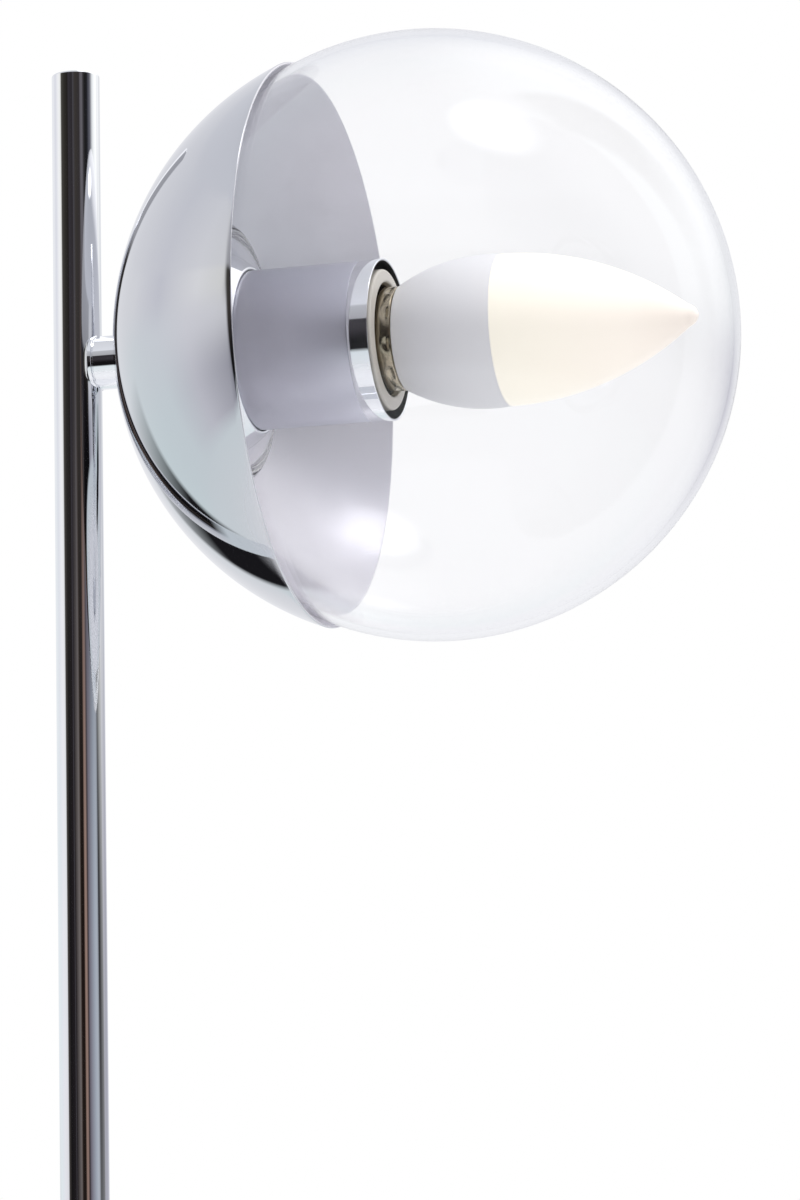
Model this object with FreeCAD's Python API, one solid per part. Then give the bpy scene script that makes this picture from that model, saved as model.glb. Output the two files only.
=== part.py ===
import FreeCAD
import Part

import math
import os

# Glass globe table lamp, in millimetres, +Z up.
# The origin is the centre of the underside of the base, on the axis of the pole.
# The head's axis is horizontal and runs along +X. Places along it are given from the centre of the
# globe: negative towards the pole, positive towards the tip of the bulb.

# ---- driving dimensions -------------------------------------------------------------------------
LAMP_HEIGHT = 470.0
POLE_R = 6.0
POLE_WALL = 1.0
HEAD_DROP = 74.2            # top of the pole down to the axis of the head
REACH = 91.4                # axis of the pole to the centre of the globe
HEAD_Z = LAMP_HEIGHT - HEAD_DROP

GLOBE_R = 75.0
GLASS = 1.8                 # wall of the blown globe
COLLAR_R = 28.4             # bore of the globe's turned-in collar
COLLAR_WALL = 3.5
COLLAR_FRONT = -49.5
FOLD_R = 35.2               # where the globe's back starts to fold inwards

DOME_R = 74.26              # outside of the spun dome
DOME_CENTRE = -4.34
DOME_RIM = -30.5
SHEET = 0.7
SEAT_R = 8.2                # flat at the back of the dome, against the arm

ARM_R = 6.65
ARM_START = 3.2             # from the axis of the pole
THREAD_R = 5.0              # M10x1 lamp thread
LEAD_BORE = 3.3             # hole for the leads through both nipples

CUP_R = 27.5                # holder cup that the globe screws onto
CUP_SHEET = 0.8
COVER_R = 19.7              # tube round the lampholder
COVER_SHEET = 0.8
COVER_BACK = -62.8
COVER_FRONT = -16.3
RING_R = 19.9
RING_FRONT = -11.0
BODY_R = 17.3               # ceramic lampholder
BODY_BACK = -42.0
BODY_FRONT = -11.5
SHELL_R = 13.25             # bore of the E27 screw shell

BULB_R = 18.5               # C37 candle bulb
BULB_SEAM = 18.2
BULB_NECK_R = 12.6
BULB_NECK = -9.0
BULB_TIP = 65.9
CAP_R = 12.75
BULB_END = -34.8

BASE_R = 80.0
BASE_TOP = 17.0
COVER_STEEL = 1.2
PAD = 2.0                   # foam pad under the base
GLAND_Z = 5.8

LEAD_R = 0.9
LEAD_SIDES = 8
LEAD_GAP = 1.05             # each lead's distance from the lamp's middle plane
FIT = 0.05                  # clearance of a thread or a sliding fit, on the radius

SOFT_R = 8.0                # an arc with a smaller radius is a soft edge, a larger one a bowl
SOFT_TURN = 90.0            # degrees that one cone turns on a soft edge
BOWL_TURN = 14.0            # and on a globe, bowl or bulb


# ---- helpers ------------------------------------------------------------------------------------
def chords(here, mid, end):
    """Points along the arc from here through mid to end: few on a soft edge, more on a bowl."""
    arc = Part.Arc(here, mid, end).toShape()
    turn = BOWL_TURN if arc.Curve.Radius > SOFT_R else SOFT_TURN
    sweep = math.degrees(arc.Length / arc.Curve.Radius)
    count = max(2, math.ceil(sweep / turn))
    return arc.discretize(count + 1)[1:]


def lathe(start, steps, place, centre, axis):
    """Turn a closed profile of (along, radius) points a full turn about the axis.

    A step is a point, or a (mid, end) pair for an arc, which is turned as a run of narrow cones.
    """
    here = place(*start)
    corners = [here]
    for step in steps:
        if isinstance(step[0], tuple):
            corners += chords(corners[-1], place(*step[0]), place(*step[1]))
        else:
            corners.append(place(*step))
    face = Part.Face(Part.makePolygon(corners + [here]))
    return face.revolve(centre, axis, 360)


def head_lathe(start, *steps):
    """A turned piece of the head, profiled by (place along the head, radius)."""
    def place(along, radius):
        return FreeCAD.Vector(REACH + along, 0, HEAD_Z + radius)

    return lathe(start, steps, place, FreeCAD.Vector(0, 0, HEAD_Z), FreeCAD.Vector(1, 0, 0))


def base_lathe(start, *steps):
    """A turned piece on the pole's axis, profiled by (radius, height)."""
    def place(radius, height):
        return FreeCAD.Vector(radius, 0, height)

    return lathe(start, steps, place, FreeCAD.Vector(0, 0, 0), FreeCAD.Vector(0, 0, 1))


def head_tube(back, front, inner, outer):
    return head_lathe((back, inner), (back, outer), (front, outer), (front, inner))


def base_tube(low, high, inner, outer):
    return base_lathe((inner, low), (outer, low), (outer, high), (inner, high))


def head_rod(back, front, radius, y=0.0, z=0.0):
    corner = FreeCAD.Vector(REACH + back, y, HEAD_Z + z)
    return Part.makeCylinder(radius, front - back, corner, FreeCAD.Vector(1, 0, 0))


def head_box(back, front, y_low, y_high, z_low, z_high):
    corner = FreeCAD.Vector(REACH + back, y_low, HEAD_Z + z_low)
    return Part.makeBox(front - back, y_high - y_low, z_high - z_low, corner)


def hexagon(across_flats, thickness, start, direction):
    radius = across_flats / math.sqrt(3)
    side = FreeCAD.Vector(0, 1, 0)
    across = direction.cross(side)
    corners = []
    for index in range(7):
        angle = math.radians(60 * index)
        corners.append(start + side * radius * math.cos(angle) + across * radius * math.sin(angle))
    return Part.Face(Part.makePolygon(corners)).extrude(direction * thickness)


def sphere_radius(along, centre, radius):
    """Distance from the axis of a sphere's surface at a place along the axis."""
    return math.sqrt(radius ** 2 - (along - centre) ** 2)


def sphere_back(distance, centre, radius):
    """Place along the axis of a sphere's back at a distance from the axis."""
    return centre - math.sqrt(radius ** 2 - distance ** 2)


# ---- base and pole ------------------------------------------------------------------------------
def base_cover():
    """Pressed cap of plated steel with a soft upper edge, a pole hole and a hole for the gland."""
    edge = 2.5
    low = 1.0
    inner = BASE_R - COVER_STEEL
    under = BASE_TOP - COVER_STEEL
    soft = edge - COVER_STEEL
    turn = math.sqrt(0.5)
    shell = base_lathe(
        (inner, low), (BASE_R, low), (BASE_R, BASE_TOP - edge),
        ((BASE_R - edge * (1 - turn), BASE_TOP - edge * (1 - turn)), (BASE_R - edge, BASE_TOP)),
        (THREAD_R + FIT, BASE_TOP), (THREAD_R + FIT, under), (inner - soft, under),
        ((inner - soft * (1 - turn), under - soft * (1 - turn)), (inner, under - soft)))
    back = FreeCAD.Vector(-BASE_R - 1, 0, GLAND_Z)
    return shell.cut(Part.makeCylinder(3.75, 5, back, FreeCAD.Vector(1, 0, 0)))


def base_weight():
    """Cast disc with a pocket for the foot nut and a channel for the leads, both from below."""
    top = BASE_TOP - COVER_STEEL
    pocket_r = 11.5
    channel = 5.2
    radius = BASE_R - COVER_STEEL - 1.3
    disc = base_lathe(
        (pocket_r, PAD), (radius, PAD), (radius, top - 1.5), (radius - 1.5, top),
        (THREAD_R + FIT, top), (THREAD_R + FIT, 11.0), (pocket_r, 11.0))
    slot = Part.makeBox(radius + 2, 2 * channel, 9.0, FreeCAD.Vector(-radius - 2, -channel, PAD - 1))
    return disc.cut(slot)


def base_pad():
    """Foam disc that the lamp stands on."""
    radius = BASE_R - 3.0
    return base_lathe((0, 0), (radius, 0), (radius, PAD), (0, PAD))


def cord_gland():
    """Flanged bush in the back of the base, where the cord comes in."""
    outer = 3.7
    bore = 2.9
    flange = 4.4

    def place(along, radius):
        return FreeCAD.Vector(-BASE_R + along, 0, GLAND_Z + radius)

    profile = [(-1.0, flange), (0.0, flange), (0.0, outer), (8.0, outer), (8.0, bore), (-2.2, bore)]
    axis = FreeCAD.Vector(1, 0, 0)
    return lathe((-2.2, 3.6), profile, place, FreeCAD.Vector(0, 0, GLAND_Z), axis)


def foot_nipple():
    return base_tube(7.0, 34.0, LEAD_BORE, THREAD_R - FIT)


def foot_washer():
    return base_tube(9.8, 11.0, THREAD_R + FIT, 10.5)


def foot_nut():
    thickness = 2.6
    low = 7.2
    body = hexagon(14.0, thickness, FreeCAD.Vector(0, 0, low), FreeCAD.Vector(0, 0, 1))
    return body.cut(Part.makeCylinder(THREAD_R, thickness, FreeCAD.Vector(0, 0, low)))


def pole_tube():
    """Drawn tube with a chamfered top and a hole where the leads turn into the arm."""
    chamfer = 0.4
    inner = POLE_R - POLE_WALL
    tube = base_lathe(
        (inner, BASE_TOP), (POLE_R, BASE_TOP), (POLE_R, LAMP_HEIGHT - chamfer),
        (POLE_R - chamfer, LAMP_HEIGHT), (inner, LAMP_HEIGHT))
    hole = Part.makeCylinder(LEAD_BORE, POLE_R + 1, FreeCAD.Vector(0, 0, HEAD_Z), FreeCAD.Vector(1, 0, 0))
    return tube.cut(hole)


def pole_top_plug():
    """Flush turned plug that closes the top of the pole."""
    outer = POLE_R - POLE_WALL
    inner = outer - 1.2
    return base_lathe(
        (0, LAMP_HEIGHT - 1.5), (inner, LAMP_HEIGHT - 1.5), (inner, LAMP_HEIGHT - 8.0),
        (outer - FIT, LAMP_HEIGHT - 8.0), (outer - FIT, LAMP_HEIGHT), (0, LAMP_HEIGHT))


def seat_place():
    """Outside of the flat at the back of the dome."""
    return sphere_back(SEAT_R, DOME_CENTRE, DOME_R)


def head_arm():
    """Short stub, saddled to the pole, threaded inside for the nipple that holds the head."""
    back = ARM_START - REACH
    front = seat_place()
    soft = 1.0
    floor = POLE_R + 0.8 - REACH
    turn = math.sqrt(0.5)
    stub = head_lathe(
        (back, LEAD_BORE), (back, ARM_R - soft),
        ((back + soft * (1 - turn), ARM_R - soft * (1 - turn)), (back + soft, ARM_R)),
        (front - 0.3, ARM_R), (front, ARM_R - 0.3), (front, THREAD_R + FIT),
        (floor, THREAD_R + FIT), (floor, LEAD_BORE))
    saddle = Part.makeCylinder(POLE_R, 4 * ARM_R, FreeCAD.Vector(0, 0, HEAD_Z - 2 * ARM_R))
    return stub.cut(saddle)


# ---- head: dome, holder cup and lampholder ------------------------------------------------------
def dome_shell():
    """Spun steel bowl with a flat seat at the back, a nipple hole and a rounded lip."""
    inner_r = DOME_R - SHEET
    seat = seat_place()
    inside = seat + SHEET
    inner_seat = math.sqrt(inner_r ** 2 - (inside - DOME_CENTRE) ** 2)
    lip_out = sphere_radius(DOME_RIM, DOME_CENTRE, DOME_R)
    lip_in = sphere_radius(DOME_RIM, DOME_CENTRE, inner_r)
    middle = -62.0
    return head_lathe(
        (seat, THREAD_R + FIT), (seat, SEAT_R),
        ((middle, sphere_radius(middle, DOME_CENTRE, DOME_R)), (DOME_RIM, lip_out)),
        ((DOME_RIM + SHEET / 2, (lip_out + lip_in) / 2), (DOME_RIM, lip_in)),
        ((middle, sphere_radius(middle, DOME_CENTRE, inner_r)), (inside, inner_seat)),
        (inside, THREAD_R + FIT))


def cup_back():
    return seat_place() + SHEET + 0.8


def dome_washer():
    return head_tube(seat_place() + SHEET, cup_back(), THREAD_R + FIT, 8.0)


def holder_cup():
    """Drawn cup whose wall carries the globe, closed by a shoulder round the lampholder cover."""
    back = cup_back()
    wall = -70.9
    bend = -53.0
    shoulder = (-50.2, 24.8)
    front = -45.3
    inner = CUP_R - CUP_SHEET
    return head_lathe(
        (back, THREAD_R + FIT), (back, 10.0), (wall, CUP_R), (bend, CUP_R),
        shoulder, (front, COVER_R + 0.9), (front, COVER_R + FIT),
        (shoulder[0] - 0.5, shoulder[1] - 0.7), (bend, inner),
        (wall + 0.5, inner), (back + CUP_SHEET, 10.4), (back + CUP_SHEET, THREAD_R + FIT))


def spacer_sleeve():
    return head_tube(cup_back() + CUP_SHEET, COVER_BACK, THREAD_R + FIT, 7.5)


def head_nipple():
    """Hollow threaded tube from the arm to the lampholder bracket, which the leads run through."""
    return head_tube(POLE_R + 1.0 - REACH, -54.0, LEAD_BORE, THREAD_R)


def lampholder_cover():
    """Deep-drawn satin tube, closed at the back round the nipple."""
    soft = 3.0
    turn = math.sqrt(0.5)
    inner = COVER_R - COVER_SHEET
    inside = COVER_BACK + COVER_SHEET
    core = soft - COVER_SHEET
    return head_lathe(
        (COVER_BACK, THREAD_R + FIT), (COVER_BACK, COVER_R - soft),
        ((COVER_BACK + soft * (1 - turn), COVER_R - soft * (1 - turn)), (COVER_BACK + soft, COVER_R)),
        (COVER_FRONT, COVER_R), (COVER_FRONT, inner), (COVER_BACK + soft, inner),
        ((inside + core * (1 - turn), inner - core * (1 - turn)), (inside, inner - core)),
        (inside, THREAD_R + FIT))


def cover_lock_nut():
    thickness = 2.8
    start = FreeCAD.Vector(REACH + COVER_BACK + COVER_SHEET, 0, HEAD_Z)
    axis = FreeCAD.Vector(1, 0, 0)
    body = hexagon(14.0, thickness, start, axis)
    return body.cut(Part.makeCylinder(THREAD_R + FIT, thickness, start, axis))


def holder_bracket():
    """Steel hub on the nipple with a bar and two legs that carry the ceramic body."""
    bar_back = -55.4
    bar = 1.2
    half = 4.0
    leg_out = 15.4
    hub = head_tube(-59.0, -54.2, THREAD_R + FIT, 7.5)
    strap = head_box(bar_back, bar_back + bar, -leg_out, leg_out, -half, half)
    strap = strap.cut(head_rod(bar_back - 1, bar_back + 3, THREAD_R + FIT))
    for side in (-1, 1):
        low, high = sorted((side * leg_out, side * (leg_out - bar)))
        strap = strap.fuse(head_box(bar_back, BODY_BACK, low, high, -half, half))
        low, high = sorted((side * leg_out, side * 8.5))
        foot = head_box(BODY_BACK - bar, BODY_BACK, low, high, -half, half)
        strap = strap.fuse(foot.cut(head_rod(BODY_BACK - 2, BODY_BACK + 1, 1.55, y=side * 11.0)))
    return hub.fuse(strap).removeSplitter()


def bracket_screws():
    """Two screws that hold the bracket's feet to the ceramic body."""
    screws = []
    for side in (-1, 1):
        y = side * 11.0
        head = head_rod(BODY_BACK - 3.2, BODY_BACK - 1.2, 2.6, y=y)
        screws.append(head.fuse(head_rod(BODY_BACK - 1.2, BODY_BACK + 3.0, 1.5, y=y)))
    return Part.Compound(screws)


def lampholder_body():
    """Ceramic E27 body: a deep well for the screw shell, a stepped floor and two terminal seats."""
    well = 14.0
    floor = -38.0
    mouth = 15.4
    body = head_lathe(
        (BODY_BACK, 0), (BODY_BACK, BODY_R - 1), (BODY_BACK + 1, BODY_R), (BODY_FRONT - 0.6, BODY_R),
        (BODY_FRONT, BODY_R - 0.6), (BODY_FRONT, mouth), (BODY_FRONT - 1.6, well), (floor + 2, well),
        (floor + 2, 9.0), (floor, 9.0), (floor, 0))
    for side in (-1, 1):
        body = body.cut(head_rod(BODY_BACK - 1, BODY_BACK + 3.2, 1.5, y=side * 11.0))
        body = body.cut(head_rod(BODY_BACK - 1, BODY_BACK + 5, 1.2, z=side * 6.5))
    return body


def screw_shell():
    """Plated brass E27 shell with a flared mouth and a turned-in back edge."""
    metal = 0.35
    outer = SHELL_R + metal
    flare = 1.45
    back = -35.6
    return head_lathe(
        (back, SHELL_R - 2.0), (back, outer - 0.5), (back + 0.5, outer), (-13.2, outer),
        (-10.9, SHELL_R + flare), (-10.6, SHELL_R + flare - 0.25), (-13.0, SHELL_R),
        (back + 0.5, SHELL_R), (back + metal, SHELL_R - 0.4), (back + metal, SHELL_R - 2.0))


def centre_contact():
    """Bronze tongue: a foot on the floor of the ceramic well and a sprung tip under the bulb."""
    metal = 0.4
    half = 2.2
    foot = head_box(-38.0, -38.0 + metal, -half, half, -1.0, 8.0)
    points = [FreeCAD.Vector(REACH + along, -half, HEAD_Z - height) for along, height in
              [(-38.0, -1.0), (-37.6, -1.0), (-35.0, 1.4), (-35.0, 3.4), (-35.4, 3.4), (-35.4, 1.6)]]
    tongue = Part.Face(Part.makePolygon(points + points[:1])).extrude(FreeCAD.Vector(0, 2 * half, 0))
    return foot.fuse(tongue)


def terminal_blocks():
    """Two brass blocks behind the ceramic body, each with a hole for its lead."""
    blocks = []
    for side in (-1, 1):
        z = side * 6.5
        block = head_box(-47.0, BODY_BACK, -3.0, 3.0, z - 2.5, z + 2.5)
        block = block.cut(head_rod(-48.0, -43.5, LEAD_R + 0.1, y=side * LEAD_GAP, z=z))
        blocks.append(block)
    return Part.Compound(blocks)


def terminal_screws():
    """Two slotted screws that clamp the leads in the terminal blocks."""
    screws = []
    for side in (-1, 1):
        start = FreeCAD.Vector(REACH - 44.6, 0, HEAD_Z + side * 9.0)
        out = FreeCAD.Vector(0, 0, side)
        head = Part.makeCylinder(1.9, 1.5, start, out)
        slot = Part.makeBox(0.6, 5, 1.2, FreeCAD.Vector(start.x - 0.3, -2.5, start.z + side * 1.5 - 0.6))
        screws.append(head.cut(slot))
    return Part.Compound(screws)


def cover_ring():
    """Polished ring that finishes the front of the cover, with a spigot inside it."""
    spigot = COVER_R - COVER_SHEET - FIT
    bore = 18.1
    return head_lathe(
        (COVER_FRONT - 4.0, bore), (COVER_FRONT - 4.0, spigot), (COVER_FRONT, spigot),
        (COVER_FRONT, RING_R), (RING_FRONT - 0.5, RING_R),
        ((RING_FRONT - 0.15, RING_R - 0.15), (RING_FRONT, RING_R - 0.5)),
        (RING_FRONT, bore + 0.6), (RING_FRONT - 0.6, bore))


# ---- globe --------------------------------------------------------------------------------------
def globe_fold():
    """Edge where the bowl of the globe ends and its collar begins: outer and inner corner."""
    outer = (sphere_back(FOLD_R, 0, GLOBE_R), FOLD_R)
    inner = (sphere_back(FOLD_R + 0.4, 0, GLOBE_R - GLASS), FOLD_R + 0.4)
    return outer, inner


def glass_globe():
    """Blown bowl of the globe, from its front to the fold at the back."""
    inner_r = GLOBE_R - GLASS
    outer_fold, inner_fold = globe_fold()
    diagonal = math.sqrt(0.5)
    return head_lathe(
        (GLOBE_R, 0), ((0, GLOBE_R), outer_fold), inner_fold,
        ((inner_r * (diagonal - 0.4), inner_r * math.sqrt(1 - (diagonal - 0.4) ** 2)), (inner_r, 0)))


def globe_collar():
    """The globe's back, folded inwards into a round collar with a beaded edge."""
    outside = COLLAR_R + COLLAR_WALL
    bead = COLLAR_WALL / 2
    outer_fold, inner_fold = globe_fold()
    return head_lathe(
        outer_fold, ((-69.4, 31.0), (-66.4, COLLAR_R)), (COLLAR_FRONT - bead, COLLAR_R),
        ((COLLAR_FRONT, COLLAR_R + bead), (COLLAR_FRONT - bead, outside)), (-62.2, outside),
        ((-64.4, 33.2), inner_fold))


def globe_gasket():
    """Silicone ring in the globe's collar, which rubs on the holder cup."""
    return head_tube(-64.0, -58.0, CUP_R + FIT, COLLAR_R - FIT)


# ---- bulb ---------------------------------------------------------------------------------------
def bulb_diffuser():
    """Opal candle-shaped envelope."""
    wall = 1.0
    tip = BULB_TIP - 2.3
    return head_lathe(
        (BULB_SEAM, BULB_R), ((44.0, 13.6), (tip, 2.7)), ((BULB_TIP - 0.6, 1.5), (BULB_TIP, 0)),
        (BULB_TIP - 2.6, 0), (tip - 2.0, 1.6), (43.4, 12.4), (BULB_SEAM, BULB_R - wall))


def bulb_housing():
    """White moulded body, flaring from the neck to the seam."""
    wall = 1.4
    return head_lathe(
        (BULB_NECK, BULB_NECK_R), ((0.6, 16.6), (BULB_SEAM, BULB_R)), (BULB_SEAM, BULB_R - wall),
        (0.9, 16.2 - wall), (BULB_NECK + 0.6, BULB_NECK_R - wall), (BULB_NECK - 4, BULB_NECK_R - wall),
        (BULB_NECK - 4, BULB_NECK_R - 0.6), (BULB_NECK, BULB_NECK_R - 0.6))


def bulb_cap():
    """Plated E27 screw cap with a coned end."""
    metal = 0.3
    front = BULB_NECK - 0.4
    cone = -30.0
    end = -33.2
    return head_lathe(
        (front, BULB_NECK_R - 0.55), (front, BULB_NECK_R), (front - 1, CAP_R), (cone, CAP_R),
        (end, 7.5), (end, 6.8), (cone + 0.3, CAP_R - metal), (front - 1, CAP_R - metal))


def bulb_insulator():
    return head_lathe((-33.6, 0), (-33.6, 6.0), (-32.4, 6.75), (-31.6, 6.75), (-31.6, 0))


def bulb_contact():
    return head_lathe((BULB_END, 0), (BULB_END, 3.6), ((-34.3, 4.6), (-33.6, 4.9)), (-33.6, 0))


def led_board():
    return head_tube(BULB_SEAM - 1.9, BULB_SEAM - 0.3, 1.5, 15.6)


def driver_board():
    """Narrow board with its coil and capacitor, inside the housing and cap."""
    board = head_box(-26.0, 10.0, -8.0, 8.0, -0.8, 0.8)
    coil = head_box(-2.0, 6.0, -4.0, 4.0, 0.8, 7.0)
    capacitor = head_rod(-20.0, -8.0, 3.4, z=3.9)
    return board.fuse(coil).fuse(capacitor)


# ---- leads --------------------------------------------------------------------------------------
def lead_tube(side):
    """Lead from the gland through the weight, pole and arm to its terminal, bent at round corners."""
    bends = [
        (0.0, GLAND_Z, 4.5), (0.0, HEAD_Z, 5.0),
        (REACH - 53.2, HEAD_Z, 4.0), (REACH - 48.4, HEAD_Z + side * 6.5, 2.6)]
    start = FreeCAD.Vector(-BASE_R + 8.0, side * LEAD_GAP, GLAND_Z)
    finish = FreeCAD.Vector(REACH - 43.6, side * LEAD_GAP, HEAD_Z + side * 6.5)
    corners = [FreeCAD.Vector(x, side * LEAD_GAP, z) for x, z, radius in bends]
    stops = [start] + corners + [finish]
    edges = []
    here = start
    for index, (x, z, radius) in enumerate(bends):
        corner = stops[index + 1]
        into = (corner - stops[index]).normalize()
        out = (stops[index + 2] - corner).normalize()
        half = into.getAngle(out) / 2
        reach = radius * math.tan(half)
        bisector = (out - into).normalize()
        middle = corner + bisector * (radius / math.cos(half) - radius)
        enter = corner - into * reach
        leave = corner + out * reach
        edges.append(Part.LineSegment(here, enter).toShape())
        edges.append(Part.Arc(enter, middle, leave).toShape())
        here = leave
    edges.append(Part.LineSegment(here, finish).toShape())
    path = Part.Wire(edges)
    around = []
    for index in range(LEAD_SIDES + 1):
        angle = math.tau * index / LEAD_SIDES
        around.append(start + FreeCAD.Vector(0, LEAD_R * math.cos(angle), LEAD_R * math.sin(angle)))
    ring = Part.makePolygon(around)
    tube = path.makePipeShell([ring], True, False)
    ideal = math.pi * LEAD_R ** 2 * path.Length
    print("lead volume", round(tube.Volume, 1), "of", round(ideal, 1), "length", round(path.Length, 1))
    return tube


def lead_live():
    return lead_tube(1)


def lead_neutral():
    return lead_tube(-1)


PIECES = [
    base_cover, base_weight, base_pad, cord_gland, foot_nipple, foot_washer, foot_nut,
    pole_tube, pole_top_plug, head_arm, dome_shell, dome_washer, holder_cup, spacer_sleeve,
    head_nipple, lampholder_cover, cover_lock_nut, holder_bracket, bracket_screws,
    lampholder_body, screw_shell, centre_contact, terminal_blocks, terminal_screws, cover_ring,
    glass_globe, globe_collar, globe_gasket, bulb_diffuser, bulb_housing, bulb_cap, bulb_insulator,
    bulb_contact, led_board, driver_board, lead_live, lead_neutral]

os.makedirs("parts", exist_ok=True)
for piece in PIECES:
    shape = piece()
    name = piece.__name__
    if not shape.isValid() or shape.Volume <= 0:
        raise ValueError(name + " is not a sound solid")
    shape.exportStep("parts/" + name + ".step")
    print(name, len(shape.Solids), "solid", round(shape.Volume / 1000, 2), "cm3")
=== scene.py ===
import math

import bpy
from bpy.props import FloatProperty, FloatVectorProperty, IntProperty, PointerProperty
from mathutils import Matrix, Vector


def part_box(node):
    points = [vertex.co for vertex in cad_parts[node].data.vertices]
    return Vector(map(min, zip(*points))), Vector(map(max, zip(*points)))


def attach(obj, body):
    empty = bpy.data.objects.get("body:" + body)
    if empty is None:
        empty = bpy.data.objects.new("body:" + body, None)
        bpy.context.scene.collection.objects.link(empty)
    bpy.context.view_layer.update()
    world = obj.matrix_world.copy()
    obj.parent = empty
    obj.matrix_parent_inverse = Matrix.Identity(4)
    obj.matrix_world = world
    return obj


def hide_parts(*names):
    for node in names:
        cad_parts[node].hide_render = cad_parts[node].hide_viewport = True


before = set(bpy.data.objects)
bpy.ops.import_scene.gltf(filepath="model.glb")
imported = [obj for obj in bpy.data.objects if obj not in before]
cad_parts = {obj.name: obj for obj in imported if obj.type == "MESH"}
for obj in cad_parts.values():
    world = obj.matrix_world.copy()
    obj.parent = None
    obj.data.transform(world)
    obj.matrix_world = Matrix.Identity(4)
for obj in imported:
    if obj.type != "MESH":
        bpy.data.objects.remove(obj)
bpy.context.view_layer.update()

bl_info = {
    "name": "Glass Globe Table Lamp",
    "version": (1, 0, 0),
    "blender": (4, 5, 0),
    "location": "View3D > Sidebar > Globe Lamp",
    "description": "Builds a chrome table lamp with a clear glass globe in a half dome",
    "category": "Add Mesh",
}

MM = 0.001

POLE_LOW, POLE_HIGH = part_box("pole_tube")
GLOBE_LOW, GLOBE_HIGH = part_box("glass_globe")
DOME_LOW, DOME_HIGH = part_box("dome_shell")
COVER_LOW, COVER_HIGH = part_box("lampholder_cover")
RING_LOW, RING_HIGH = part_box("cover_ring")
BULB_LOW, BULB_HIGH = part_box("bulb_diffuser")
BASE_LOW, BASE_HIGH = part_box("base_cover")

HEAD_Z = (GLOBE_LOW.z + GLOBE_HIGH.z) / 2
GLOBE_RADIUS = (GLOBE_HIGH.z - GLOBE_LOW.z) / 2
GLOBE_X = GLOBE_HIGH.x - GLOBE_RADIUS
HEAD = Vector((GLOBE_X, 0, HEAD_Z))
TINY = 0.0005          # radius in mm at which a ring closes into one point
NIPPLE_HOLE = 5.05     # radius in mm of the holes that the M10 nipple goes through


def linear(text):
    """An sRGB hex colour as linear red, green and blue."""
    values = []
    for place in (1, 3, 5):
        share = int(text[place:place + 2], 16) / 255
        values.append(share / 12.92 if share <= 0.04045 else ((share + 0.055) / 1.055) ** 2.4)
    return values


def length(name, value, description):
    """A size in metres that the panel shows."""
    return FloatProperty(name=name, description=description, default=value, unit="LENGTH", precision=5)


def colour(name, value, description):
    """A colour, given as sRGB hex, that the panel shows."""
    return FloatVectorProperty(
        name=name, description=description, default=linear(value), subtype="COLOR", min=0, max=1)


def angle(name, degrees, description):
    """An angle, given in degrees, that the panel shows."""
    return FloatProperty(
        name=name, description=description, default=math.radians(degrees), unit="ROTATION", precision=5)


class LampSizes(bpy.types.PropertyGroup):
    """Sizes of the pieces that show"""

    globe_radius: length("Globe radius", GLOBE_RADIUS, "Outside of the glass globe")
    glass_wall: length("Glass wall", 0.0018, "Wall of the blown globe")
    collar_radius: length("Collar bore", 0.0284, "Bore of the globe's turned-in collar")
    dome_radius: length("Dome radius", 0.07426, "Outside of the spun dome")
    dome_sheet: length("Dome sheet", 0.0007, "Sheet that the dome is spun from")
    pole_radius: length("Pole radius", POLE_HIGH.x, "Outside of the pole")
    arm_radius: length("Arm radius", 0.00665, "Outside of the stub that carries the head")
    cover_radius: length(
        "Cover radius", (COVER_HIGH.z - COVER_LOW.z) / 2, "Satin tube round the lampholder")
    ring_radius: length(
        "Ring radius", (RING_HIGH.z - RING_LOW.z) / 2, "Polished ring at the cover's front")
    bulb_radius: length("Bulb radius", (BULB_HIGH.z - BULB_LOW.z) / 2, "Widest place of the candle bulb")
    base_radius: length("Base radius", (BASE_HIGH.y - BASE_LOW.y) / 2, "Outside of the base")
    base_edge: length("Base edge", 0.0025, "Rounding of the base's upper edge")
    thread_pitch: length("Thread pitch", 0.003629, "Pitch of the bulb's screw thread")
    segments: IntProperty(
        name="Segments", description="Sides of a turned piece", default=144, min=24, max=256)


class LampColours(bpy.types.PropertyGroup):
    """Colours of the finishes that show"""

    chrome: colour("Chrome", "#F1F2F5", "Polished chrome plating on tube and fittings")
    dome: colour("Dome", "#D2D3D8", "Chrome plating on the spun dome")
    dome_inside: colour("Dome inside", "#ECEAF0", "Satin plating inside the dome")
    satin: colour("Satin nickel", "#E2E2EB", "Plating of the lampholder cover")
    ceramic: colour("Ceramic", "#DAD5CB", "Glazed lampholder body")
    glass: colour("Glass", "#FDFDFE", "Body tint of the clear glass")
    diffuser: colour("Diffuser", "#FBF8EE", "Opal envelope of the bulb")
    housing: colour("Housing", "#FAFAFB", "Moulded body of the bulb")
    floor: colour("Floor", "#F4F4F4", "Table and backdrop")


class LampView(bpy.types.PropertyGroup):
    """Where the camera stands, measured from the globe's centre"""

    azimuth: angle("Azimuth", 14.935, "Camera's turn about the vertical, from the front")
    elevation: angle("Elevation", -12.975, "Camera's height angle seen from the globe")
    yaw: angle("Yaw", -0.477, "Turn of the view away from the globe's centre")
    pitch: angle("Pitch", -3.101, "Tilt of the view away from the globe's centre")
    roll: angle("Roll", -1.244, "Roll of the view")
    distance: length("Distance", 1.185816, "From the camera to the globe's centre")
    lens: FloatProperty(name="Lens", description="Focal length", default=145.81, unit="CAMERA")
    sensor: FloatProperty(name="Sensor", description="Height of the sensor", default=36, unit="CAMERA")


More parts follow.
